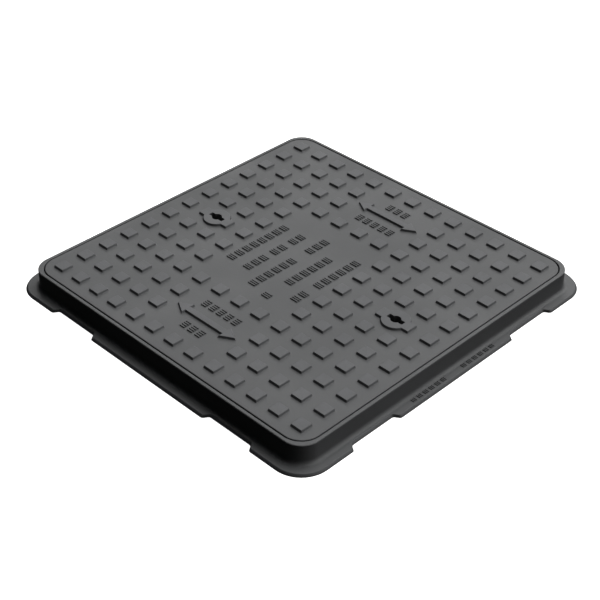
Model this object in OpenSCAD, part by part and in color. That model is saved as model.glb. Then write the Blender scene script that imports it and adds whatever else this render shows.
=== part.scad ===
// Square access cover in its frame. The frame is bedded on its flange with the rim flush with
// the paving. The cover's skirt stands in the frame's channel on a seal and four corner pads,
// and the cover lifts straight out with two keys.

/* [Frame] */
// Clear width of the square opening through the frame
clear_opening = 600; // [500:10:900]
// Corner radius of the clear opening
opening_corner_r = 14; // [8:1:30]
// Height of the frame, from the flange's underside to the rim
frame_depth = 40; // [33:1:60]
// Thickness of the frame's outer wall
wall_t = 6.5; // [4:0.5:9]
// Width of the channel between the outer wall and the upstand
channel_w = 17; // [14:0.5:24]
// Thickness of the upstand round the opening
upstand_t = 6; // [4:0.5:9]
// Height of the upstand above the channel floor
upstand_h = 13; // [8:0.5:16]
// Thickness of the flange and the channel floor
base_t = 5; // [4:0.5:8]
// Corner radius of the rim, outside
rim_corner_r = 35.5; // [28:0.5:50]
// Radius of the fillet where the wall meets the flange
foot_fillet = 7; // [3:0.5:10]

/* [Flange] */
// How far the flange reaches beyond the wall
flange_reach = 22.5; // [18:0.5:40]
// Corner radius of the flange
flange_corner_r = 53.5; // [30:0.5:70]
// Length of the tab in the middle of each side
middle_tab_l = 273; // [120:1:330]
// Length of the tab at each corner, along one side
corner_tab_l = 110.5; // [80:0.5:135]
// How deep the recesses between the tabs are
recess_depth = 10.5; // [4:0.5:12.5]
// How much narrower a recess is at its bottom, at each end
recess_taper = 7; // [2:0.5:12]

/* [Cover] */
// Thickness of the cover plate
plate_t = 6; // [4:0.5:8]
// Gap between the cover's edge and the frame's wall
edge_gap = 2; // [1.5:0.5:5]
// Thickness of the cover's skirt
skirt_t = 6; // [4:0.5:8]
// Thickness of the ribs under the plate
rib_t = 5; // [3:0.5:8]
// Depth of the ribs under the plate
rib_depth = 24; // [16:0.5:29]
// Space kept between the ribs' raised ends and the top of the frame's upstand
rib_clear = 2; // [1:0.5:6]
// How far inside the clear opening the ribs reach their full depth
rib_in = 12; // [6:1:30]

/* [Tread] */
// Spacing of the studs
stud_pitch = 48; // [36:1:60]
// Side of a stud
stud_side = 24; // [12:0.5:26]
// Height of the studs, bosses and arrows above the plate
stud_h = 4; // [2:0.5:5]
// Least distance from a row of studs to the cover's edge
stud_margin = 20; // [15:1:40]
// Height of the blank lettering tiles above the plate
tile_h = 2; // [1:0.5:4]

/* [Keyways] */
// Length of the keyway slot
slot_l = 33; // [24:0.5:40]
// Width of the keyway slot
slot_w = 9; // [6:0.5:12]
// Diameter of the round middle of the keyway
slot_round_d = 18; // [12:0.5:22]
// Radius of the raised disc round a keyway
disc_r = 25.5; // [21:0.5:31]
// Thickness of the pad under the plate at a keyway
pad_t = 6; // [4:0.5:8]
// Depth of the closed cup under a keyway
cup_depth = 18; // [12:0.5:22]
// Wall of the cup
cup_wall = 2.2; // [1.5:0.1:3]
// Space round the key's head inside the cup
key_clear = 1.5; // [1:0.5:3]
// Radius of a cup screw's shank
screw_r = 2.5; // [2:0.25:3]

/* [Seal] */
// Width of the seal strips
seal_w = 12; // [8:0.5:16]
// Thickness of the seal strips and corner pads
seal_t = 4; // [2.5:0.5:6]
// Space between a corner pad and the channel's sides
pad_clear = 0.5; // [0.3:0.1:1.5]

/* [Hidden] */
$fn = 64;
iron = "#3f4144";
rubber = "#1d1e20";
polyurethane = "#a3642c";
plastic = "#2a2c30";
steel = "#b4b8bc";
overlap = 1; // how deep joined pieces of one casting run into each other

opening_half = clear_opening / 2;
upstand_half = opening_half + upstand_t;
channel_mid = upstand_half + channel_w / 2;
wall_in_half = upstand_half + channel_w;
rim_half = wall_in_half + wall_t;
flange_half = rim_half + flange_reach;
corner_c = opening_half - opening_corner_r; // centre of every rounded corner of the channel
seat_z = base_t + seal_t;
upstand_top = base_t + upstand_h;

recess_start = middle_tab_l / 2;
recess_end = flange_half - corner_tab_l;
recess_mid = (recess_start + recess_end) / 2;
recess_half = (recess_end - recess_start) / 2;

cover_half = wall_in_half - edge_gap;
plate_z = frame_depth - plate_t;
skirt_in = channel_mid - skirt_t / 2;
skirt_out = channel_mid + skirt_t / 2;

stud_rows = floor((cover_half - stud_margin) / stud_pitch); // on each side of the middle row
key_x = (stud_rows - 1.5) * stud_pitch;
mark_row = stud_rows - 1; // the arrows take up this row of studs and the one inside it
mark_y = (mark_row - 0.5) * stud_pitch;

rib_pitch = key_x / round(key_x / (1.5 * stud_pitch)); // keeps each keyway in the middle of a cell
rib_long_half = opening_half - rib_in;
rib_rows = floor((rib_long_half - rib_t / 2) / rib_pitch - 0.5);
rib_places = [for (k = [-rib_rows - 1 : rib_rows]) (k + 0.5) * rib_pitch];

cup_r = slot_l / 2 + key_clear;
cup_top = plate_z - pad_t;
head_r = screw_r + 2;
ear_at = cup_r + cup_wall + head_r + 1.3; // distance of a screw from the keyway's middle
ear_r = screw_r + 3;
ear_t = 3;
screw_grip = 8; // length of a cup screw inside the cover
screw_gap = 0.05; // radial gap round a screw in its tapped hole
screw_play = 0.25; // radial gap round a screw in the cup's ear
head_h = 3;
socket_r = 1.6;
socket_depth = 1.6;

arrow_half = 1.5 * stud_pitch - 2;
arrow_head_l = 26;
arrow_head_half = 15;
arrow_shaft_half = 6.5;
arrow_out = 2.5; // from the middle between the two rows, towards the cover's edge

// blank tiles stand where a maker's letters would: l is a letter's height, w its width
tile_l = 17;
tile_w = 12;
tile_pitch = 0.375 * stud_pitch;
tile_row_pitch = 0.865 * stud_pitch;
tile_rows_mid = -0.5 * stud_pitch; // the middle of the studs left out for the lettering
// each word: row counted from the middle one, place of its first tile and number of tiles
words = [[-2, -3.5, 8], [-1, -3.5, 3], [-1, 0, 2], [-1, 2.5, 2], [0, -5, 6], [0, 2.5, 3],
         [1, -5.5, 1], [1, -2.5, 6], [2, -4, 2], [2, -1, 6]];
mark_word_gap = 31; // from the middle between the two rows to the middle of the words there
outer_word = 3; // tiles in the word between an arrow and the cover's edge
inner_word = 5; // tiles in the word on the arrow's other side

flange_tile = [8, 9, 1.5];
flange_tile_pitch = 14;
flange_word = 6; // tiles in a word on the flange
flange_word_y = 60; // distance of each word from the middle of the right-hand side

// true where the grid of studs is left out for the arrows and the lettering
function is_marked(i, j) =
    (abs(i) <= 1 && abs(j) >= mark_row - 1 && abs(j) <= mark_row) ||
    (i >= -2 && i <= 1 && abs(j) <= 2);
// n places a pitch apart, with their middle at 0
function spread(n, pitch) = [for (k = [0 : n - 1]) (k - (n - 1) / 2) * pitch];

// square with rounded corners, centred on the Z axis
module rounded_square(half, r) {
    square([2 * half, 2 * (half - r)], center = true);
    square([2 * (half - r), 2 * half], center = true);
    for (x = [-1, 1], y = [-1, 1])
        translate([x, y] * (half - r)) circle(r);
}

// upright ring between two rounded squares
module square_ring(out_half, out_r, in_half, in_r, z, h) {
    translate([0, 0, z]) linear_extrude(h) difference() {
        rounded_square(out_half, out_r);
        rounded_square(in_half, in_r);
    }
}

// sweeps a profile round a square path; its X is measured from the corner's centre
module sweep_square(corner) {
    for (turn = [0 : 90 : 270]) rotate(turn) {
        translate([corner, 0, 0]) rotate([90, 0, 0]) linear_extrude(2 * corner, center = true)
            children();
        translate([corner, corner, 0]) rotate_extrude(angle = 90) children();
    }
}

// hollow fillet along the foot of the wall
module foot_profile() {
    arc = [for (a = [0 : 15 : 90]) [rim_corner_r + foot_fillet * (1 - cos(a)),
                                    base_t + foot_fillet * (1 - sin(a))]];
    polygon(concat(arc, [[rim_corner_r + foot_fillet, base_t - overlap],
                         [rim_corner_r - overlap, base_t - overlap],
                         [rim_corner_r - overlap, base_t + foot_fillet]]));
}

module flange_outline() {
    beyond = overlap * recess_taper / recess_depth;
    difference() {
        rounded_square(flange_half, flange_corner_r);
        for (turn = [0 : 90 : 270], side = [-1, 1])
            rotate(turn) translate([flange_half, side * recess_mid])
                polygon([[-recess_depth, recess_taper - recess_half],
                         [overlap, -recess_half - beyond],
                         [overlap, recess_half + beyond],
                         [-recess_depth, recess_half - recess_taper]]);
        rounded_square(opening_half, opening_corner_r);
    }
}

module frame_casting() color(iron) {
    linear_extrude(base_t) flange_outline();
    square_ring(rim_half, rim_corner_r, wall_in_half, wall_in_half - corner_c,
                base_t - overlap, frame_depth - base_t + overlap);
    square_ring(upstand_half, upstand_half - corner_c, opening_half, opening_corner_r,
                base_t - overlap, upstand_h + overlap);
    sweep_square(rim_half - rim_corner_r) foot_profile();
    for (word = [-flange_word_y, flange_word_y], y = spread(flange_word, flange_tile_pitch))
        translate([rim_half + flange_reach / 2, word + y, base_t + (flange_tile.z - overlap) / 2])
            cube(flange_tile + [0, 0, overlap], center = true);
}

// straight seal strip along the side that faces the given turn from +X
module seal_strip(turn) color(rubber)
    rotate(turn) translate([channel_mid - seal_w / 2, pad_clear - corner_c, base_t])
        cube([seal_w, 2 * (corner_c - pad_clear), seal_t]);

// curved pad in one corner of the channel, turned from the +X +Y corner
module corner_pad(turn) color(polyurethane)
    rotate(turn) translate([corner_c, corner_c, base_t]) rotate_extrude(angle = 90)
        translate([upstand_half - corner_c + pad_clear, 0])
            square([channel_w - 2 * pad_clear, seal_t]);

module stud(x, y)
    translate([x - stud_side / 2, y - stud_side / 2, frame_depth - overlap])
        cube([stud_side, stud_side, stud_h + overlap]);

module studs() {
    for (i = [-stud_rows : stud_rows], j = [-stud_rows : stud_rows])
        if (!is_marked(i, j)) stud(i * stud_pitch, j * stud_pitch);
}

// double-headed arrow along X, the way the cover slides off
module arrow() {
    neck = arrow_half - arrow_head_l;
    translate([0, 0, frame_depth - overlap]) linear_extrude(stud_h + overlap)
        polygon([[-arrow_half, 0], [-neck, -arrow_head_half], [-neck, -arrow_shaft_half],
                 [neck, -arrow_shaft_half], [neck, -arrow_head_half], [arrow_half, 0],
                 [neck, arrow_head_half], [neck, arrow_shaft_half],
                 [-neck, arrow_shaft_half], [-neck, arrow_head_half]]);
}

// blank tile in the place of a letter
module tile(x, y, l, w)
    translate([x - l / 2, y - w / 2, frame_depth - overlap]) cube([l, w, tile_h + overlap]);

module centre_words() {
    for (word = words, k = [0 : word[2] - 1])
        tile(tile_rows_mid + word[0] * tile_row_pitch, (word[1] + k) * tile_pitch, tile_l, tile_w);
}

// arrow with a word of tiles on each side of it
module side_mark() {
    translate([0, -arrow_out, 0]) arrow();
    for (x = spread(inner_word, tile_pitch)) tile(x, mark_word_gap, tile_w, tile_l);
    for (x = spread(outer_word, tile_pitch)) tile(x, -mark_word_gap, tile_w, tile_l);
}

module ribs() {
    end_z = upstand_top + rib_clear;
    for (turn = [0, 90], y = rib_places) rotate(turn) {
        translate([-rib_long_half, y - rib_t / 2, plate_z - rib_depth])
            cube([2 * rib_long_half, rib_t, rib_depth + overlap]);
        translate([-skirt_in - overlap, y - rib_t / 2, end_z])
            cube([2 * (skirt_in + overlap), rib_t, plate_z - end_z + overlap]);
    }
}

// the hole that takes the lifting key, down through the plate and the pad
module keyway_hole() {
    translate([0, 0, cup_top - overlap]) linear_extrude(pad_t + plate_t + stud_h + 2 * overlap) {
        square([slot_l, slot_w], center = true);
        circle(d = slot_round_d);
    }
}

// the two places of a cup's screws, across a corner of the rib cell
module at_ears() {
    for (turn = [45, 225]) rotate(turn) translate([ear_at, 0, 0]) children();
}

module screw_holes() {
    at_ears() translate([0, 0, cup_top - overlap])
        cylinder(r = screw_r + screw_gap, h = screw_grip + 2 * overlap);
}

module cover_casting() color(iron) difference() {
    union() {
        translate([0, 0, plate_z]) linear_extrude(plate_t)
            rounded_square(cover_half, cover_half - corner_c);
        square_ring(skirt_out, skirt_out - corner_c, skirt_in, skirt_in - corner_c,
                    seat_z, plate_z - seat_z + overlap);
        ribs();
        studs();
        centre_words();
        for (turn = [0, 180])
            rotate(turn) translate([0, -mark_y, 0]) side_mark();
        for (x = [-key_x, key_x]) {
            translate([x, 0, frame_depth - overlap]) cylinder(r = disc_r, h = stud_h + overlap);
            translate([x - rib_pitch / 2, -rib_pitch / 2, cup_top])
                cube([rib_pitch, rib_pitch, pad_t + overlap]);
        }
    }
    for (x = [-key_x, key_x]) translate([x, 0, 0]) {
        keyway_hole();
        screw_holes();
    }
}

// closed cup under a keyway, with two ears for its screws
module keyway_cup(x) color(plastic) translate([x, 0, cup_top]) difference() {
    union() {
        translate([0, 0, -cup_depth]) cylinder(r = cup_r + cup_wall, h = cup_depth);
        translate([0, 0, -ear_t]) {
            at_ears() cylinder(r = ear_r, h = ear_t);
            rotate(45) translate([-ear_at, -ear_r, 0]) cube([2 * ear_at, 2 * ear_r, ear_t]);
        }
    }
    translate([0, 0, cup_wall - cup_depth]) cylinder(r = cup_r, h = cup_depth);
    at_ears() translate([0, 0, -ear_t - overlap])
        cylinder(r = screw_r + screw_play, h = ear_t + 2 * overlap);
}

// the two pan-head screws that hold one cup
module cup_screws(x) color(steel)
    translate([x, 0, cup_top - ear_t]) at_ears() difference() {
        union() {
            cylinder(r = screw_r, h = ear_t + screw_grip);
            translate([0, 0, -head_h]) cylinder(r = head_r, h = head_h);
        }
        translate([0, 0, -head_h - overlap])
            cylinder(r = socket_r, h = socket_depth + overlap, $fn = 6);
    }

frame_casting();
seal_strip(270);  // seal_strip_front
seal_strip(90);  // seal_strip_back
seal_strip(180);  // seal_strip_left
seal_strip(0);  // seal_strip_right
corner_pad(180);  // corner_pad_front_left
corner_pad(270);  // corner_pad_front_right
corner_pad(90);  // corner_pad_back_left
corner_pad(0);  // corner_pad_back_right
cover_casting();
keyway_cup(-key_x);  // keyway_cup_left
keyway_cup(key_x);  // keyway_cup_right
cup_screws(-key_x);  // cup_screws_left
cup_screws(key_x);  // cup_screws_right
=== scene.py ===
import bpy
import bmesh
import math
from mathutils import Matrix, Vector


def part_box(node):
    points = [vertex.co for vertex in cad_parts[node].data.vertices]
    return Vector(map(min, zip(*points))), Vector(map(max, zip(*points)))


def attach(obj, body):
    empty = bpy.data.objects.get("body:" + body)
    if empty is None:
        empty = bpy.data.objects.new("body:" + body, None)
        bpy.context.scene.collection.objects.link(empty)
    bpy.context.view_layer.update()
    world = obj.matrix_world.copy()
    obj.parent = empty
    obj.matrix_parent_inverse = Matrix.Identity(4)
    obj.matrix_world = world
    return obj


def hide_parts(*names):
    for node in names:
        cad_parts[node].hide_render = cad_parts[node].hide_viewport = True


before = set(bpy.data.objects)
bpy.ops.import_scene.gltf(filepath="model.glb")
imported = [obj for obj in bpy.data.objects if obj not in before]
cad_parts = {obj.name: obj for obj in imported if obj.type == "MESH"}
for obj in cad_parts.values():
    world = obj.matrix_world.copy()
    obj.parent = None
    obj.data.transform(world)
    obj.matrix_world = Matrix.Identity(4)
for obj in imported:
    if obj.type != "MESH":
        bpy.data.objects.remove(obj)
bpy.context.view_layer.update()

world = bpy.context.scene.world or bpy.data.worlds.new("studio")
bpy.context.scene.world = world
bpy.context.scene.view_settings.view_transform = "Standard"


def boxOf(node):
    low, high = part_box(node)
    return low * 1000, high * 1000


def addNode(tree, kind, inputs=None, **settings):
    node = tree.nodes.new(kind)
    for name, value in settings.items():
        setattr(node, name, value)
    for key, value in (inputs or {}).items():
        for one in value if isinstance(value, list) else [value]:
            if isinstance(one, bpy.types.NodeSocket):
                tree.links.new(one, node.inputs[key])
            else:
                node.inputs[key].default_value = one
    return node


def hexColour(code):
    def linear(c):
        return c / 12.92 if c <= 0.04045 else ((c + 0.055) / 1.055) ** 2.4
    return tuple(linear(int(code[k:k + 2], 16) / 255) for k in (1, 3, 5)) + (1,)


# camera and studio

camera = {
    "azimuth": 45.04, "elevation": 34.94, "distance": 2356.3,
    "lens": 82.53, "shift": (-0.00265, -0.0549),
}


def makeCamera():
    rimZ = boxOf("frame_casting")[1].z
    azimuth, elevation = math.radians(camera["azimuth"]), math.radians(camera["elevation"])
    back = Vector((math.sin(azimuth) * math.cos(elevation),
                   -math.cos(azimuth) * math.cos(elevation), math.sin(elevation)))
    data = bpy.data.cameras.new("camera")
    data.lens = camera["lens"]
    data.sensor_width = 36
    data.shift_x, data.shift_y = camera["shift"]
    data.clip_end = 100
    eye = bpy.data.objects.new("camera", data)
    eye.location = (Vector((0, 0, rimZ)) + back * camera["distance"]) / 1000
    eye.rotation_mode = "QUATERNION"
    eye.rotation_quaternion = (-back).to_track_quat("-Z", "Y")
    bpy.context.scene.collection.objects.link(eye)
    bpy.context.scene.camera = eye


studio = {
    # each soft lamp: degrees from overhead, direction it stands in, strength and spread
    "lamps": {
        "overhead": (21, 100, 1.85, 36), "backLeft": (62, 135, 0.86, 30), "back": (56, 90, 0.92, 34),
        "backRight": (52, 45, 1.42, 40), "side": (80, 0, 0.14, 30),
    },
    "skyStrength": 0.014, "floorSize": 60000, "floorColour": "#f4f4f2", "floorGlow": 0.9,
}


def makeStudio():
    for name, (down, around, strength, spread) in studio["lamps"].items():
        lamp = bpy.data.lights.new(name, "SUN")
        lamp.energy = strength
        lamp.angle = math.radians(spread)
        light = bpy.data.objects.new(name, lamp)
        down, around = math.radians(down), math.radians(around)
        aside = math.sin(down)
        towards = Vector((aside * math.cos(around), aside * math.sin(around), math.cos(down)))
        light.rotation_mode = "QUATERNION"
        light.rotation_quaternion = towards.to_track_quat("Z", "Y")
        bpy.context.scene.collection.objects.link(light)

    # the backdrop is white where it is seen and gives only a little light
    world.use_nodes = True
    tree = world.node_tree
    tree.nodes.clear()
    path = addNode(tree, "ShaderNodeLightPath")
    dim = addNode(tree, "ShaderNodeBackground", {"Color": (1, 1, 1, 1), "Strength": studio["skyStrength"]})
    white = addNode(tree, "ShaderNodeBackground", {"Color": (1, 1, 1, 1), "Strength": 1.0})
    mix = addNode(tree, "ShaderNodeMixShader", {0: path.outputs["Is Camera Ray"],
                                                1: dim.outputs[0], 2: white.outputs[0]})
    addNode(tree, "ShaderNodeOutputWorld", {"Surface": mix.outputs[0]})

    half = studio["floorSize"] / 2
    floor = makePiece("floor", [(-half, -half, 0), (half, -half, 0), (half, half, 0), (-half, half, 0)],
                      [(0, 1, 2, 3)])
    floor.data.materials.append(paperFloor())
    floor.visible_diffuse = False
    floor.visible_glossy = False
    print("studio ready")


def paperFloor():
    # matt paper sweep lit from below, so that it stays white under soft shadows
    material = bpy.data.materials.new("palePaper")
    material.use_nodes = True
    shader = material.node_tree.nodes["Principled BSDF"]
    shader.inputs["Base Color"].default_value = hexColour(studio["floorColour"])
    shader.inputs["Roughness"].default_value = 0.9
    shader.inputs["Specular IOR Level"].default_value = 0.0
    shader.inputs["Emission Color"].default_value = hexColour("#ffffff")
    shader.inputs["Emission Strength"].default_value = studio["floorGlow"]
    return material


# materials

def newMaterial(name):
    material = bpy.data.materials.new(name)
    material.use_nodes = True
    tree = material.node_tree
    return material, tree, tree.nodes["Principled BSDF"]


coating = {
    "dark": "#3d3e3f", "light": "#454647", "worn": "#55565a",
    "grain": 2.2,     # sand grain of the mould, drawn coarser than its real 0.6 mm so that it shows
    "flow": 16,       # waves where the dipped coating ran
    "cloud": 130,     # patches of thicker and thinner coating
    "wearFrom": 2.4,  # height above the plate where feet and tyres touch
    "wear": 0.5, "roughness": (0.54, 0.66),
}


def bitumenCoatedIron(name, plateZ, wear):
    # ductile iron, sand cast and dipped in black bitumen paint: dark, satin, slightly grained
    material, tree, shader = newMaterial(name)
    place = addNode(tree, "ShaderNodeTexCoord").outputs["Object"]
    cloud = addNode(tree, "ShaderNodeTexNoise", {"Vector": place, "Scale": 1000 / coating["cloud"],
                                                 "Detail": 4.0, "Roughness": 0.55})
    grain = addNode(tree, "ShaderNodeTexNoise", {"Vector": place, "Scale": 1000 / coating["grain"],
                                                 "Detail": 3.0, "Roughness": 0.65})
    flow = addNode(tree, "ShaderNodeTexNoise", {"Vector": place, "Scale": 1000 / coating["flow"],
                                                "Detail": 2.0, "Roughness": 0.5})
    tone = addNode(tree, "ShaderNodeMix", {"Factor": cloud.outputs["Fac"], 6: hexColour(coating["dark"]),
                                           7: hexColour(coating["light"])}, data_type="RGBA")
    height = addNode(tree, "ShaderNodeSeparateXYZ", {0: place}).outputs["Z"]
    touched = addNode(tree, "ShaderNodeMapRange", {"Value": height,
                                                   "From Min": (plateZ + coating["wearFrom"]) / 1000,
                                                   "From Max": (plateZ + coating["wearFrom"] + 1) / 1000,
                                                   "To Max": wear})
    rubbed = addNode(tree, "ShaderNodeMath", {0: touched.outputs["Result"], 1: flow.outputs["Fac"]},
                     operation="MULTIPLY")
    worn = addNode(tree, "ShaderNodeMix", {"Factor": rubbed.outputs[0], 6: tone.outputs[2],
                                           7: hexColour(coating["worn"])}, data_type="RGBA")
    bright, dull = coating["roughness"]
    gloss = addNode(tree, "ShaderNodeMapRange", {"Value": cloud.outputs["Fac"], "From Min": 0.3,
                                                 "From Max": 0.7, "To Min": bright, "To Max": dull})
    waves = addNode(tree, "ShaderNodeBump", {"Strength": 0.12, "Distance": 0.0012,
                                             "Height": flow.outputs["Fac"]})
    sand = addNode(tree, "ShaderNodeBump", {"Strength": 0.22, "Distance": 0.0003,
                                            "Height": grain.outputs["Fac"],
                                            "Normal": waves.outputs["Normal"]})
    tree.links.new(worn.outputs[2], shader.inputs["Base Color"])
    tree.links.new(gloss.outputs["Result"], shader.inputs["Roughness"])
    tree.links.new(sand.outputs["Normal"], shader.inputs["Normal"])
    shader.inputs["IOR"].default_value = 1.5
    return material


spongeSkin = {"dark": "#1b1b1c", "light": "#2c2c2d", "pore": 1.1, "talc": 22, "roughness": 0.88}


def spongeRubber():
    # extruded EPDM sponge: matt black skin with fine pores and a dusting of talc
    material, tree, shader = newMaterial("epdmSponge")
    place = addNode(tree, "ShaderNodeTexCoord").outputs["Object"]
    pores = addNode(tree, "ShaderNodeTexVoronoi", {"Vector": place, "Scale": 1000 / spongeSkin["pore"]})
    talc = addNode(tree, "ShaderNodeTexNoise", {"Vector": place, "Scale": 1000 / spongeSkin["talc"],
                                                "Detail": 5.0})
    tone = addNode(tree, "ShaderNodeMix", {"Factor": talc.outputs["Fac"], 6: hexColour(spongeSkin["dark"]),
                                           7: hexColour(spongeSkin["light"])}, data_type="RGBA")
    skin = addNode(tree, "ShaderNodeBump", {"Strength": 0.35, "Distance": 0.0002,
                                            "Height": pores.outputs["Distance"]})
    tree.links.new(tone.outputs[2], shader.inputs["Base Color"])
    tree.links.new(skin.outputs["Normal"], shader.inputs["Normal"])
    shader.inputs["Roughness"].default_value = spongeSkin["roughness"]
    shader.inputs["IOR"].default_value = 1.5
    return material


pouredSkin = {"dark": "#8f4f17", "light": "#b2702c", "streak": 9, "roughness": 0.42}


def castPolyurethane():
    # poured polyurethane: amber, waxy, lets a little light in
    material, tree, shader = newMaterial("castPolyurethane")
    place = addNode(tree, "ShaderNodeTexCoord").outputs["Object"]
    streak = addNode(tree, "ShaderNodeTexNoise", {"Vector": place, "Scale": 1000 / pouredSkin["streak"],
                                                  "Detail": 4.0, "Distortion": 0.6})
    tone = addNode(tree, "ShaderNodeMix", {"Factor": streak.outputs["Fac"], 6: hexColour(pouredSkin["dark"]),
                                           7: hexColour(pouredSkin["light"])}, data_type="RGBA")
    dimple = addNode(tree, "ShaderNodeBump", {"Strength": 0.15, "Distance": 0.0003,
                                              "Height": streak.outputs["Fac"]})
    tree.links.new(tone.outputs[2], shader.inputs["Base Color"])
    tree.links.new(dimple.outputs["Normal"], shader.inputs["Normal"])
    shader.inputs["Roughness"].default_value = pouredSkin["roughness"]
    shader.inputs["IOR"].default_value = 1.5
    shader.inputs["Subsurface Weight"].default_value = 0.08
    shader.inputs["Subsurface Scale"].default_value = 0.004
    return material


mouldedSkin = {"dark": "#222325", "light": "#2e2f32", "spark": 0.8, "haze": 14, "roughness": 0.5}


def mouldedPolypropylene():
    # injection moulded polypropylene: spark-eroded, slightly waxy black
    material, tree, shader = newMaterial("mouldedPolypropylene")
    place = addNode(tree, "ShaderNodeTexCoord").outputs["Object"]
    spark = addNode(tree, "ShaderNodeTexNoise", {"Vector": place, "Scale": 1000 / mouldedSkin["spark"],
                                                 "Detail": 2.0})
    haze = addNode(tree, "ShaderNodeTexNoise", {"Vector": place, "Scale": 1000 / mouldedSkin["haze"],
                                                "Detail": 3.0})
    tone = addNode(tree, "ShaderNodeMix", {"Factor": haze.outputs["Fac"], 6: hexColour(mouldedSkin["dark"]),
                                           7: hexColour(mouldedSkin["light"])}, data_type="RGBA")
    skin = addNode(tree, "ShaderNodeBump", {"Strength": 0.3, "Distance": 0.0001,
                                            "Height": spark.outputs["Fac"]})
    tree.links.new(tone.outputs[2], shader.inputs["Base Color"])
    tree.links.new(skin.outputs["Normal"], shader.inputs["Normal"])
    shader.inputs["Roughness"].default_value = mouldedSkin["roughness"]
    shader.inputs["IOR"].default_value = 1.49
    return material


turnedSkin = {"steel": "#b9b7b2", "marks": 0.5, "bloom": 3, "roughness": (0.25, 0.45)}


def stainlessSteel():
    # cold-headed stainless steel screw: bright, with fine turning marks and a dull bloom
    material, tree, shader = newMaterial("stainlessSteel")
    place = addNode(tree, "ShaderNodeTexCoord").outputs["Object"]
    marks = addNode(tree, "ShaderNodeTexNoise", {"Vector": place, "Scale": 1000 / turnedSkin["marks"],
                                                 "Detail": 2.0})
    bloom = addNode(tree, "ShaderNodeTexNoise", {"Vector": place, "Scale": 1000 / turnedSkin["bloom"],
                                                 "Detail": 3.0})
    bright, dull = turnedSkin["roughness"]
    gloss = addNode(tree, "ShaderNodeMapRange", {"Value": bloom.outputs["Fac"], "To Min": bright,
                                                 "To Max": dull})
    cut = addNode(tree, "ShaderNodeBump", {"Strength": 0.2, "Distance": 0.00005,
                                           "Height": marks.outputs["Fac"]})
    tree.links.new(gloss.outputs["Result"], shader.inputs["Roughness"])
    tree.links.new(cut.outputs["Normal"], shader.inputs["Normal"])
    shader.inputs["Base Color"].default_value = hexColour(turnedSkin["steel"])
    shader.inputs["Metallic"].default_value = 1.0
    return material


# shape helpers

def makePiece(name, points, faces):
    mesh = bpy.data.meshes.new(name)
    mesh.from_pydata([(x / 1000, y / 1000, z / 1000) for x, y, z in points], [], faces)
    mesh.update()
    piece = bpy.data.objects.new(name, mesh)
    bpy.context.scene.collection.objects.link(piece)
    return piece


def loft(name, rings, ringIsClosed=False):
    # skins a stack of rings with the same number of points, and closes its ends
    count = len(rings[0])
    faces = []
    for a in range(len(rings) if ringIsClosed else len(rings) - 1):
        b = (a + 1) % len(rings)
        for k in range(count):
            n = (k + 1) % count
            faces.append((a * count + k, a * count + n, b * count + n, b * count + k))
    if not ringIsClosed:
        faces.append(tuple(reversed(range(count))))
        faces.append(tuple(range((len(rings) - 1) * count, len(rings) * count)))
    return makePiece(name, [p for ring in rings for p in ring], faces)


def roundedRectangle(halfX, halfY, radius, steps):
    outline = []
    for turn, (sx, sy) in enumerate(((1, 1), (-1, 1), (-1, -1), (1, -1))):
        for k in range(steps + 1):
            angle = math.radians(90 * (turn + k / steps))
            outline.append((sx * (halfX - radius) + radius * math.cos(angle),
                            sy * (halfY - radius) + radius * math.sin(angle)))
    return outline


def circle(radius, steps):
    return [(radius * math.cos(2 * math.pi * k / steps), radius * math.sin(2 * math.pi * k / steps))
            for k in range(steps)]


def arc(centre, height, radius, first, last, steps=3):
    # round stretch of a cross-section as (half width, height), angles in degrees
    points = []
    for k in range(steps + 1):
        angle = math.radians(first + (last - first) * k / steps)
        points.append((centre + radius * math.cos(angle), height + radius * math.sin(angle)))
    return points


def grown(outline, by):
    # every side of a closed outline moved outwards by the same distance
    moved = []
    for k, (x, y) in enumerate(outline):
        before, after = outline[k - 1], outline[(k + 1) % len(outline)]
        a = Vector((x - before[0], y - before[1])).normalized()
        b = Vector((after[0] - x, after[1] - y)).normalized()
        mitre = Vector((a.y + b.y, -a.x - b.x)) / (1 + a.dot(b))
        moved.append((x + mitre.x * by, y + mitre.y * by))
    return moved


def raised(name, outline, profile, at=(0, 0, 0)):
    # a closed solid whose outline grows or shrinks with height; the profile is (growth, height)
    return loft(name, [[(x + at[0], y + at[1], z + at[2]) for x, y in grown(outline, growth)]
                       for growth, z in profile])


def castProfile(high, out, back):
    # drafted side of a shape cast on a plate, from its foot to its rounded top edge;
    # out and back are how far the foot stands out and the top stands back
    return [(out + 0.35, -1.0), (out + 0.35, -0.05), (out, 0.12), (out - 0.25, 0.4),
            (0.35 - back, high - 0.75), (0.15 - back, high - 0.35), (-0.1 - back, high - 0.1),
            (-0.45 - back, high)]


def barTile(name, size, spec):
    # blank tile cut into bars, so that it catches the light as a raised letter would
    wide = (size[1] - (spec["bars"] - 1) * spec["gap"]) / spec["bars"]
    bars = []
    for k in range(spec["bars"]):
        y = (k - (spec["bars"] - 1) / 2) * (wide + spec["gap"])
        bars.append(raised("bar", roundedRectangle(size[0] / 2, wide / 2, wide * 0.4, 2),
                           [(0.15, -1.0), (0.15, 0.0), (0, 0.25), (-0.15, spec["high"] - 0.35),
                            (-0.45, spec["high"])], (0, y, 0)))
    return joined(name, bars)


def joined(name, pieces):
    # one object that holds several closed shapes
    mesh = bpy.data.meshes.new(name)
    build = bmesh.new()
    for piece in pieces:
        build.from_mesh(piece.data)
    build.to_mesh(mesh)
    build.free()
    whole = bpy.data.objects.new(name, mesh)
    bpy.context.scene.collection.objects.link(whole)
    discard(pieces)
    return whole


def discard(pieces):
    for piece in pieces:
        bpy.data.objects.remove(piece)


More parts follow.
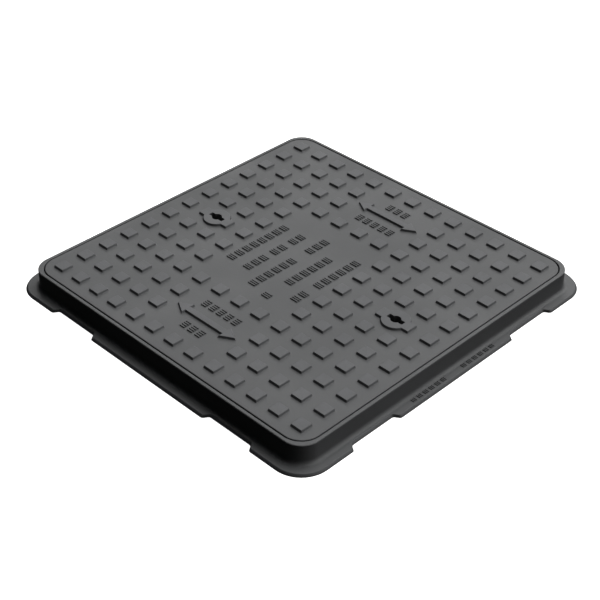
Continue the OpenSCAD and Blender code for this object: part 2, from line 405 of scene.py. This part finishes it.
def addTree(piece, tree, values):
    # hangs a node tree on a piece and sets its inputs by their identifiers
    modifier = piece.modifiers.new(tree.name, "NODES")
    modifier.node_group = tree
    for item in tree.interface.items_tree:
        if item.in_out == "INPUT" and item.name in values:
            modifier[item.identifier] = values[item.name]


def plainMesh(piece):
    # the evaluated shape becomes the piece's own mesh and the modifiers go
    bpy.context.view_layer.update()
    graph = bpy.context.evaluated_depsgraph_get()
    mesh = bpy.data.meshes.new_from_object(piece.evaluated_get(graph))
    piece.modifiers.clear()
    piece.data = mesh
    return piece


def softShade(piece, limit=32):
    # smooth over the small rounds, crisp round flat faces
    mesh = piece.data
    build = bmesh.new()
    build.from_mesh(mesh)
    bmesh.ops.recalc_face_normals(build, faces=build.faces)
    for face in build.faces:
        face.smooth = True
    for edge in build.edges:
        if len(edge.link_faces) != 2:
            continue
        bend = math.degrees(edge.calc_face_angle(0))
        level = max(abs(face.normal.z) for face in edge.link_faces) > 0.9999
        edge.smooth = bend < limit and not (level and bend > 3)
    build.to_mesh(mesh)
    build.free()
    return piece


def finishPiece(piece, body, node):
    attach(piece, body)
    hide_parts(node)
    print(node, "has", len(piece.data.polygons), "faces")


# the frame

frameCasting = {
    "wall": 6.5, "upstand": 6, "upstandHigh": 13, "base": 5, "channel": 17,
    "rimRadius": 35.5, "openingRadius": 14, "footFillet": 7,
    "flangeReach": 22.5, "flangeRadius": 53.5, "middleTab": 273, "cornerTab": 110.5,
    "recessDeep": 10.5, "recessTaper": 7, "recessRound": 3,
    "flangeLean": 38,  # the flange's sides slope by this much from upright
    "rimEdge": 1.8, "edge": 1.0, "innerFillet": 1.6, "toe": 0.5, "openingEdge": 0.6, "cornerSteps": 14,
}
flangeTiles = {"size": (8, 9), "high": 1.5, "bars": 3, "gap": 1.1, "pitch": 14, "inWord": 6, "wordAt": 60}


def recessStops(spec, flangeHalf):
    # places along one side where the flange's edge bends, each with how far it steps back there
    start, end = spec["middleTab"] / 2, flangeHalf - spec["cornerTab"]
    bends = [(start - 20, 0), (start, 0), (start + spec["recessTaper"], spec["recessDeep"]),
             (end - spec["recessTaper"], spec["recessDeep"]), (end, 0), (end + 20, 0)]
    stops = []
    for before, here, after in zip(bends, bends[1:], bends[2:]):
        here, back, ahead = Vector(here), Vector(before), Vector(after)
        a = here + (back - here).normalized() * spec["recessRound"]
        b = here + (ahead - here).normalized() * spec["recessRound"]
        for t in (0, 0.33, 0.67, 1):
            stops.append((a * (1 - t) ** 2 + here * 2 * t * (1 - t) + b * t ** 2)[:])
    return [(-t, d) for t, d in reversed(stops)] + stops


def squareRing(half, radius, z, stops, recessed, steps):
    ring = []
    for turn in range(4):
        side = [(half - d * recessed, t) for t, d in stops]
        side += arc(half - radius, half - radius, radius, 0, 90, steps)
        c, s = (1, 0, -1, 0)[turn], (0, 1, 0, -1)[turn]
        ring += [(x * c - y * s, x * s + y * c, z) for x, y in side]
    return ring


def makeFrame(material):
    high = boxOf("frame_casting")[1]
    spec = frameCasting
    flange, rimZ = high.x, high.z
    rim = flange - spec["flangeReach"]
    wallIn = rim - spec["wall"]
    upstandOut = wallIn - spec["channel"]
    opening = upstandOut - spec["upstand"]
    corner = opening - spec["openingRadius"]
    floorZ, upstandZ = spec["base"], spec["base"] + spec["upstandHigh"]
    edge, rimEdge, fillet = spec["edge"], spec["rimEdge"], spec["innerFillet"]

    section = []  # (half width, corner radius, height, whether it follows the recesses)

    def bend(centre, height, radius, first, last, fromCorner, recessed=0, steps=3):
        for half, z in arc(centre, height, radius, first, last, steps):
            section.append((half, half - fromCorner, z, recessed))

    flangeCorner = flange - spec["flangeRadius"]
    rimCorner = rim - spec["rimRadius"]
    foot, toe, openingEdge = spec["footFillet"], spec["toe"], spec["openingEdge"]
    lean = math.radians(spec["flangeLean"])
    top = flange - toe - (edge - toe + (floorZ - edge - toe) * math.sin(lean)) / math.cos(lean)
    bend(flange - toe, toe, toe, -90, spec["flangeLean"], flangeCorner, 1)
    bend(top, floorZ - edge, edge, spec["flangeLean"], 90, flangeCorner, 1)
    bend(rim + foot, floorZ + foot, foot, 270, 180, rimCorner, 0, 6)
    bend(rim - rimEdge, rimZ - rimEdge, rimEdge, 0, 90, rimCorner, 0, 4)
    bend(wallIn + edge, rimZ - edge, edge, 90, 180, corner)
    bend(wallIn - fillet, floorZ + fillet, fillet, 0, -90, corner)
    bend(upstandOut + fillet, floorZ + fillet, fillet, 270, 180, corner)
    bend(upstandOut - edge, upstandZ - edge, edge, 0, 90, corner)
    bend(opening + edge, upstandZ - edge, edge, 90, 180, corner)
    bend(opening + openingEdge, openingEdge, openingEdge, 180, 270, corner, 0, 2)

    stops = recessStops(spec, flange)
    piece = loft("frameCasting", [squareRing(half, radius, z, stops, recessed, spec["cornerSteps"])
                                  for half, radius, z, recessed in section], True)
    tile = barTile("flangeTile", flangeTiles["size"], flangeTiles)
    addTree(piece, flangeTileTree(), {
        "Tile": tile, "Tiles": flangeTiles["inWord"], "Pitch": flangeTiles["pitch"] / 1000,
        "Word Distance": flangeTiles["wordAt"] / 1000,
        "Reach": (rim + spec["flangeReach"] / 2) / 1000, "Level": floorZ / 1000, "Material": material})
    plainMesh(piece)
    discard([tile])
    softShade(piece)
    finishPiece(piece, "root", "frame_casting")


def newTree(name, sockets):
    tree = bpy.data.node_groups.new(name, "GeometryNodeTree")
    tree.interface.new_socket("Geometry", in_out="INPUT", socket_type="NodeSocketGeometry")
    for label, kind in sockets.items():
        tree.interface.new_socket(label, in_out="INPUT", socket_type="NodeSocket" + kind)
    tree.interface.new_socket("Geometry", in_out="OUTPUT", socket_type="NodeSocketGeometry")
    return tree, addNode(tree, "NodeGroupInput").outputs


def closeTree(tree, geometry, material):
    real = addNode(tree, "GeometryNodeRealizeInstances", {0: geometry})
    dressed = addNode(tree, "GeometryNodeSetMaterial", {"Geometry": real.outputs[0], "Material": material})
    addNode(tree, "NodeGroupOutput", {0: dressed.outputs[0]})


def flangeTileTree():
    # two rows of blank tiles on the right-hand flange, cast on as one body
    tree, given = newTree("flangeTiles", {"Tile": "Object", "Tiles": "Int", "Pitch": "Float",
                                          "Word Distance": "Float", "Reach": "Float",
                                          "Level": "Float", "Material": "Material"})
    tile = addNode(tree, "GeometryNodeObjectInfo", {"Object": given["Tile"]}).outputs["Geometry"]
    step = addNode(tree, "ShaderNodeCombineXYZ", {"Y": given["Pitch"]}).outputs[0]
    gaps = addNode(tree, "ShaderNodeMath", {0: given["Tiles"], 1: 1.0}, operation="SUBTRACT").outputs[0]
    span = addNode(tree, "ShaderNodeMath", {0: gaps, 1: given["Pitch"]}, operation="MULTIPLY").outputs[0]
    words = []
    for side in (-1, 1):
        middle = addNode(tree, "ShaderNodeMath", {0: given["Word Distance"], 1: side}, operation="MULTIPLY")
        first = addNode(tree, "ShaderNodeMath", {0: span, 1: -0.5, 2: middle.outputs[0]},
                        operation="MULTIPLY_ADD")
        start = addNode(tree, "ShaderNodeCombineXYZ", {"X": given["Reach"], "Y": first.outputs[0],
                                                       "Z": given["Level"]})
        row = addNode(tree, "GeometryNodeMeshLine", {"Count": given["Tiles"], "Offset": step,
                                                     "Start Location": start.outputs[0]})
        placed = addNode(tree, "GeometryNodeInstanceOnPoints", {"Points": row.outputs[0], "Instance": tile})
        words.append(addNode(tree, "GeometryNodeRealizeInstances", {0: placed.outputs[0]}).outputs[0])
    whole = addNode(tree, "GeometryNodeMeshBoolean", {"Mesh 2": [given["Geometry"]] + words},
                    operation="UNION", solver="MANIFOLD")
    closeTree(tree, whole.outputs["Mesh"], given["Material"])
    return tree


# the cover

coverCasting = {
    "plate": 6, "skirt": 6, "gap": 2, "openingRadius": 14,
    "edge": 1.2, "fillet": 2.5, "skirtRoot": 1.2, "heel": 0.8,  # rounds along the plate's section
    "rib": 5, "ribDeep": 24, "ribIn": 12, "ribEndClear": 2, "ribPitch": 72, "ribCount": 8, "cornerSteps": 14,
}
tread = {
    "pitch": 48, "side": 24, "high": 4, "rows": 6, "cornerRadius": 1.6, "discRadius": 25.5,
    "footOut": 0.3, "topBack": 1.2,  # draft of everything cast on the plate
    # places without studs, in stud pitches: reach along and across an arrow, then the middle
    # and the reaches of the lettering
    "underArrow": (1.4, 0.9), "underWords": (-0.5, 1.9, 2.4),
}
lettering = {
    "tall": 17, "wide": 12, "high": 2, "bars": 3, "sideBars": 4, "gap": 1.5,
    "pitch": 18, "rowPitch": 41.5, "rowsMiddle": -24,
    # row counted from the middle one, place of the first tile, number of tiles
    "words": [(-2, -3.5, 8), (-1, -3.5, 3), (-1, 0, 2), (-1, 2.5, 2), (0, -5, 6), (0, 2.5, 3),
              (1, -5.5, 1), (1, -2.5, 6), (2, -4, 2), (2, -1, 6)],
    "besideArrow": 31, "outerWord": 3, "innerWord": 5,
}
slideArrow = {"half": 70, "headLong": 26, "headHalf": 15, "shaftHalf": 6.5, "outwards": 2.5}
keyway = {"slot": (33, 9), "slotCorner": 1.5, "round": 18, "lip": 0.4,
          "screwHole": 2.55, "screwDeep": 9, "screwAt": 26}


def letterPlaces():
    # middle of every blank tile as (x, y, whether it lies across)
    spec = lettering
    places = []
    for row, first, count in spec["words"]:
        x = spec["rowsMiddle"] + row * spec["rowPitch"]
        places += [(x, (first + k) * spec["pitch"], 0) for k in range(count)]
    markY = (tread["rows"] - 1.5) * tread["pitch"]
    for side in (-1, 1):
        for count, y in ((spec["innerWord"], markY - spec["besideArrow"]),
                         (spec["outerWord"], markY + spec["besideArrow"])):
            places += [((k - (count - 1) / 2) * spec["pitch"], side * y, 1) for k in range(count)]
    return places


def arrowOutline():
    tip, side, shaft = slideArrow["half"], slideArrow["headHalf"], slideArrow["shaftHalf"]
    neck = tip - slideArrow["headLong"]
    right = [(neck, -shaft), (neck, -side), (tip, 0), (neck, side), (neck, shaft)]
    return right + [(-x, -y) for x, y in right]


def keywayOutline():
    # slot with a round middle, as one outline
    long, wide, eye = keyway["slot"][0] / 2, keyway["slot"][1] / 2, keyway["round"] / 2
    meet = math.degrees(math.asin(wide / eye))
    end = [p for p in roundedRectangle(long, wide, keyway["slotCorner"], 3) if p[0] > 0]
    right = end[len(end) // 2:] + end[:len(end) // 2]
    arc = [(eye * math.cos(math.radians(a)), eye * math.sin(math.radians(a)))
           for a in (meet + (180 - 2 * meet) * k / 14 for k in range(15))]
    top = right + arc
    return top + [(-x, -y) for x, y in top]


def plateBody(spec, half, corner, skirtIn, skirtOut, seatZ, underZ, topZ):
    # plate with its skirt, from the middle of the underside round the edge to the top
    fillet, edge, root, heel = spec["fillet"], spec["edge"], spec["skirtRoot"], spec["heel"]
    section = arc(skirtIn - fillet, underZ - fillet, fillet, 90, 0)
    section += arc(skirtIn + edge, seatZ + edge, edge, 180, 270)
    section += arc(skirtOut - edge, seatZ + edge, edge, 270, 360)
    section += arc(skirtOut + root, underZ - root, root, 180, 90, 2)
    section += arc(half - heel, underZ + heel, heel, 270, 360, 2)
    section += arc(half - edge, topZ - edge, edge, 0, 90)
    return loft("coverCasting", [squareRing(reach, reach - corner, z, [], 0, spec["cornerSteps"])
                                 for reach, z in section])


def ribSolid(name, halfLong, half, depth):
    return raised(name, roundedRectangle(halfLong, half, 1, 2),
                  [(-0.9, -depth), (-0.4, -depth + 0.3), (-0.25, -depth + 0.9), (0.3, -2.5),
                   (0.7, -1.1), (1.6, -0.35), (2.4, 0.05), (2.4, 1)])


def coverTree():
    # joins studs, tiles, ribs and raised marks to the plate and cuts the keyways through it
    tree, given = newTree("studdedCover", {
        "Stud": "Object", "Stud Pitch": "Float", "Stud Rows": "Int", "Level": "Float",
        "Tile": "Object", "Side Tile": "Object", "Tile Places": "Object",
        "Marks": "Object", "Holes": "Object", "Rib": "Object", "Rib End": "Object",
        "Rib Pitch": "Float", "Rib Count": "Int", "Rib Level": "Float", "Material": "Material"})
    shapes = {name: addNode(tree, "GeometryNodeObjectInfo", {"Object": given[name]}).outputs["Geometry"]
              for name in ("Stud", "Tile", "Side Tile", "Tile Places", "Marks", "Holes", "Rib", "Rib End")}

    # grid of studs, left out under the arrows and the lettering
    side = addNode(tree, "ShaderNodeMath", {0: given["Stud Rows"], 1: 2.0}, operation="MULTIPLY").outputs[0]
    count = addNode(tree, "ShaderNodeMath", {0: side, 1: 1.0}, operation="ADD").outputs[0]
    wide = addNode(tree, "ShaderNodeMath", {0: side, 1: given["Stud Pitch"]},
                   operation="MULTIPLY").outputs[0]
    grid = addNode(tree, "GeometryNodeMeshGrid", {"Size X": wide, "Size Y": wide, "Vertices X": count,
                                                  "Vertices Y": count})
    place = addNode(tree, "GeometryNodeInputPosition").outputs[0]
    inverse = addNode(tree, "ShaderNodeMath", {0: 1.0, 1: given["Stud Pitch"]},
                      operation="DIVIDE").outputs[0]
    cell = addNode(tree, "ShaderNodeVectorMath", {0: place, "Scale": inverse}, operation="SCALE").outputs[0]
    axes = addNode(tree, "ShaderNodeSeparateXYZ", {0: cell}).outputs
    fromMiddle = addNode(tree, "ShaderNodeMath", {0: axes["Y"]}, operation="ABSOLUTE").outputs[0]
    markRow = addNode(tree, "ShaderNodeMath", {0: given["Stud Rows"], 1: 1.5},
                      operation="SUBTRACT").outputs[0]
    bands = []
    arrowAlong, arrowAcross = tread["underArrow"]
    wordsMiddle, wordsAlong, wordsAcross = tread["underWords"]
    for value, middle, reach in ((axes["X"], 0.0, arrowAlong), (fromMiddle, markRow, arrowAcross),
                                 (axes["X"], wordsMiddle, wordsAlong), (axes["Y"], 0.0, wordsAcross)):
        bands.append(addNode(tree, "ShaderNodeMath", {0: value, 1: middle, 2: reach},
                             operation="COMPARE").outputs[0])
    arrows = addNode(tree, "ShaderNodeMath", {0: bands[0], 1: bands[1]}, operation="MULTIPLY").outputs[0]
    words = addNode(tree, "ShaderNodeMath", {0: bands[2], 1: bands[3]}, operation="MULTIPLY").outputs[0]
    left = addNode(tree, "ShaderNodeMath", {0: arrows, 1: words}, operation="MAXIMUM").outputs[0]
    keep = addNode(tree, "ShaderNodeMath", {0: 1.0, 1: left}, operation="SUBTRACT").outputs[0]
    studs = addNode(tree, "GeometryNodeInstanceOnPoints", {"Points": grid.outputs[0], "Selection": keep,
                                                           "Instance": shapes["Stud"]}).outputs[0]
    across = addNode(tree, "GeometryNodeInputNamedAttribute", {"Name": "across"},
                     data_type="FLOAT").outputs[0]
    along = addNode(tree, "ShaderNodeMath", {0: 1.0, 1: across}, operation="SUBTRACT").outputs[0]
    tiles = []
    for chosen, name in ((along, "Tile"), (across, "Side Tile")):
        laid = addNode(tree, "GeometryNodeInstanceOnPoints", {
            "Points": shapes["Tile Places"], "Selection": chosen, "Instance": shapes[name]})
        tiles.append(laid.outputs[0])
    up = addNode(tree, "ShaderNodeCombineXYZ", {"Z": given["Level"]}).outputs[0]
    parts = [given["Geometry"], shapes["Marks"]]
    for cast in [studs] + tiles:
        real = addNode(tree, "GeometryNodeRealizeInstances", {0: cast}).outputs[0]
        lifted = addNode(tree, "GeometryNodeTransform", {"Geometry": real, "Translation": up})
        parts.append(lifted.outputs[0])

    # ribs one way, then the same turned a quarter
    gaps = addNode(tree, "ShaderNodeMath", {0: given["Rib Count"], 1: 1.0}, operation="SUBTRACT").outputs[0]
    span = addNode(tree, "ShaderNodeMath", {0: gaps, 1: given["Rib Pitch"]},
                   operation="MULTIPLY").outputs[0]
    first = addNode(tree, "ShaderNodeMath", {0: span, 1: -0.5}, operation="MULTIPLY").outputs[0]
    start = addNode(tree, "ShaderNodeCombineXYZ", {"Y": first, "Z": given["Rib Level"]}).outputs[0]
    step = addNode(tree, "ShaderNodeCombineXYZ", {"Y": given["Rib Pitch"]}).outputs[0]
    line = addNode(tree, "GeometryNodeMeshLine", {"Count": given["Rib Count"], "Start Location": start,
                                                  "Offset": step}).outputs[0]
    for name in ("Rib", "Rib End"):
        row = addNode(tree, "GeometryNodeInstanceOnPoints", {"Points": line, "Instance": shapes[name]})
        real = addNode(tree, "GeometryNodeRealizeInstances", {0: row.outputs[0]}).outputs[0]
        across = addNode(tree, "GeometryNodeTransform", {"Geometry": real,
                                                         "Rotation": (0, 0, math.pi / 2)}).outputs[0]
        parts += [real, across]
    whole = addNode(tree, "GeometryNodeMeshBoolean", {"Mesh 2": parts}, operation="UNION",
                    solver="MANIFOLD").outputs["Mesh"]
    cut = addNode(tree, "GeometryNodeMeshBoolean", {"Mesh 1": whole, "Mesh 2": [shapes["Holes"]]},
                  operation="DIFFERENCE", solver="MANIFOLD").outputs["Mesh"]
    closeTree(tree, cut, given["Material"])
    return tree


def makeCover(material):
    low, high = boxOf("cover_casting")
    spec = coverCasting
    half, seatZ = high.x, low.z
    topZ = high.z - tread["high"]
    underZ = topZ - spec["plate"]
    frameSpec = frameCasting
    wallIn = half + spec["gap"]
    channelMid = wallIn - frameSpec["channel"] / 2
    opening = wallIn - frameSpec["channel"] - frameSpec["upstand"]
    corner = opening - spec["openingRadius"]
    skirtIn, skirtOut = channelMid - spec["skirt"] / 2, channelMid + spec["skirt"] / 2
    plate = plateBody(spec, half, corner, skirtIn, skirtOut, seatZ, underZ, topZ)

    profile = castProfile(tread["high"], tread["footOut"], tread["topBack"])
    studHalf = tread["side"] / 2
    stud = raised("stud", roundedRectangle(studHalf, studHalf, tread["cornerRadius"], 3), profile)
    tile = barTile("tile", (lettering["tall"], lettering["wide"]), lettering)
    sideTile = barTile("sideTile", (lettering["wide"], lettering["tall"]),
                       {**lettering, "bars": lettering["sideBars"]})
    places = makePiece("tilePlaces", [(x, y, 0) for x, y, turn in letterPlaces()], [])
    across = places.data.attributes.new("across", "FLOAT", "POINT")
    across.data.foreach_set("value", [turn for x, y, turn in letterPlaces()])

    markY = (tread["rows"] - 1.5) * tread["pitch"]
    arrowY = markY + slideArrow["outwards"]
    marks = [raised("arrow", arrowOutline(), profile, (0, side * arrowY, topZ)) for side in (-1, 1)]
    holes = []
    slotProfile = [(0, -20), (0, tread["high"] - keyway["lip"]),
                   (keyway["lip"] * 0.3, tread["high"] - keyway["lip"] * 0.3),
                   (keyway["lip"], tread["high"]), (keyway["lip"], tread["high"] + 2)]
    padTop = underZ + 1
    for side in ("left", "right"):
        cupLow, cupHigh = boxOf("keyway_cup_" + side)
        x = (cupLow.x + cupHigh.x) / 2
        marks.append(raised("disc", circle(tread["discRadius"], 72), profile, (x, 0, topZ)))
        cell = spec["ribPitch"] / 2
        marks.append(raised("pad", roundedRectangle(cell, cell, 2, 2),
                            [(-0.8, cupHigh.z), (0, cupHigh.z + 0.8), (0, padTop)], (x, 0, 0)))
        holes.append(raised("keyway", keywayOutline(), slotProfile, (x, 0, topZ)))
        for way in (1, -1):
            reach = way * keyway["screwAt"] * math.sqrt(0.5)
            holes.append(raised("screwHole", circle(keyway["screwHole"], 20),
                                [(0, -1), (0, keyway["screwDeep"])], (x + reach, reach, cupHigh.z)))
    marks = joined("marks", marks)
    holes = joined("holes", holes)
    ribEndDeep = underZ - (frameSpec["base"] + frameSpec["upstandHigh"] + spec["ribEndClear"])
    rib = ribSolid("rib", opening - spec["ribIn"], spec["rib"] / 2, spec["ribDeep"])
    ribEnd = ribSolid("ribEnd", skirtIn + 1, spec["rib"] / 2, ribEndDeep)
    addTree(plate, coverTree(), {
        "Stud": stud, "Stud Pitch": tread["pitch"] / 1000, "Stud Rows": tread["rows"], "Level": topZ / 1000,
        "Tile": tile, "Side Tile": sideTile, "Tile Places": places, "Marks": marks, "Holes": holes,
        "Rib": rib, "Rib End": ribEnd,
        "Rib Pitch": spec["ribPitch"] / 1000, "Rib Count": spec["ribCount"], "Rib Level": underZ / 1000,
        "Material": material})
    plainMesh(plate)
    discard([stud, tile, sideTile, places, marks, holes, rib, ribEnd])
    softShade(plate)
    finishPiece(plate, "cover", "cover_casting")


# seal, pads, cups and screws

sealStrip = {"edge": 0.8, "foot": 0.3, "grooves": (-4.2, 4.2), "grooveHalf": 0.7, "grooveDeep": 0.9}


def groovedSection(spec, inner, outer, lowZ, highZ, grooves):
    # strip with rounded top edges and shallow grooves along its top
    edge, foot, soft = spec["edge"], spec["foot"], spec["edge"] * 0.3
    section = [(inner + foot, lowZ), (outer - foot, lowZ), (outer, lowZ + foot), (outer, highZ - edge),
               (outer - soft, highZ - soft), (outer - edge, highZ)]
    for groove in reversed(grooves):
        section += [(groove + spec["grooveHalf"], highZ), (groove, highZ - spec["grooveDeep"]),
                    (groove - spec["grooveHalf"], highZ)]
    section += [(inner + edge, highZ), (inner + soft, highZ - soft), (inner, highZ - edge),
                (inner, lowZ + foot)]
    return section


def makeSealStrips(material):
    for side in ("front", "back", "left", "right"):
        node = "seal_strip_" + side
        low, high = boxOf(node)
        middle, size = (low + high) / 2, high - low
        alongX = size.x > size.y
        half, long = min(size.x, size.y) / 2, max(size.x, size.y) / 2
        section = groovedSection(sealStrip, -half, half, low.z, high.z, sealStrip["grooves"])
        rings = []
        for end in (-long, long):
            if alongX:
                rings.append([(middle.x + end, middle.y + across, z) for across, z in section])
            else:
                rings.append([(middle.x + across, middle.y - end, z) for across, z in section])
        piece = softShade(loft("sealStrip" + side.capitalize(), rings))
        piece.data.materials.append(material)
        finishPiece(piece, "root", node)


cornerPad = {"wide": 16, "edge": 0.8, "foot": 0.3, "steps": 24,
             "grooves": (0.17, 0.83), "grooveHalf": 0.8, "grooveDeep": 0.8}


def makeCornerPads(material):
    for side in ("front_left", "front_right", "back_left", "back_right"):
        node = "corner_pad_" + side
        low, high = boxOf(node)
        sx = 1 if low.x > 0 else -1
        sy = 1 if low.y > 0 else -1
        centre = (low.x if sx > 0 else high.x, low.y if sy > 0 else high.y)
        outer = high.x - low.x
        inner = outer - cornerPad["wide"]
        grooves = [inner + share * cornerPad["wide"] for share in cornerPad["grooves"]]
        section = groovedSection(cornerPad, inner, outer, low.z, high.z, grooves)
        rings = []
        for k in range(cornerPad["steps"] + 1):
            angle = math.radians(90 * k / cornerPad["steps"])
            aside, ahead = sx * math.cos(angle), sy * math.sin(angle)
            rings.append([(centre[0] + radius * aside, centre[1] + radius * ahead, z)
                          for radius, z in section])
        piece = softShade(loft("cornerPad" + side.title().replace("_", ""), rings))
        piece.data.materials.append(material)
        finishPiece(piece, "root", node)


keywayCup = {"edge": 0.4}
cupScrew = {"edge": 0.25}


def makeSoftened(node, name, width, material):
    # a copy of the plain solid with its edges rounded as the moulded or headed part has them
    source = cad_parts[node]
    mesh = source.data.copy()
    piece = bpy.data.objects.new(name, mesh)
    bpy.context.scene.collection.objects.link(piece)
    build = bmesh.new()
    build.from_mesh(mesh)
    bmesh.ops.remove_doubles(build, verts=build.verts, dist=0.000005)
    bmesh.ops.dissolve_limit(build, angle_limit=math.radians(1), verts=build.verts, edges=build.edges)
    build.to_mesh(mesh)
    build.free()
    bevel = piece.modifiers.new("roundedEdges", "BEVEL")
    bevel.width = width / 1000
    bevel.segments = 2
    bevel.limit_method = "ANGLE"
    bevel.angle_limit = math.radians(40)
    plainMesh(piece)
    piece.data.materials.clear()
    piece.data.materials.append(material)
    softShade(piece)
    finishPiece(piece, "cover", node)


makeCamera()
makeStudio()
plateZ = boxOf("cover_casting")[1].z - tread["high"]
makeFrame(bitumenCoatedIron("bitumenCoatedFrameIron", plateZ, 0.0))
makeCover(bitumenCoatedIron("bitumenCoatedCoverIron", plateZ, coating["wear"]))
makeSealStrips(spongeRubber())
makeCornerPads(castPolyurethane())
plastic, steel = mouldedPolypropylene(), stainlessSteel()
for side in ("left", "right"):
    cup, screws = "keyway_cup_" + side, "cup_screws_" + side
    makeSoftened(cup, "keywayCup" + side.capitalize(), keywayCup["edge"], plastic)
    makeSoftened(screws, "cupScrews" + side.capitalize(), cupScrew["edge"], steel)
print("pieces ready")
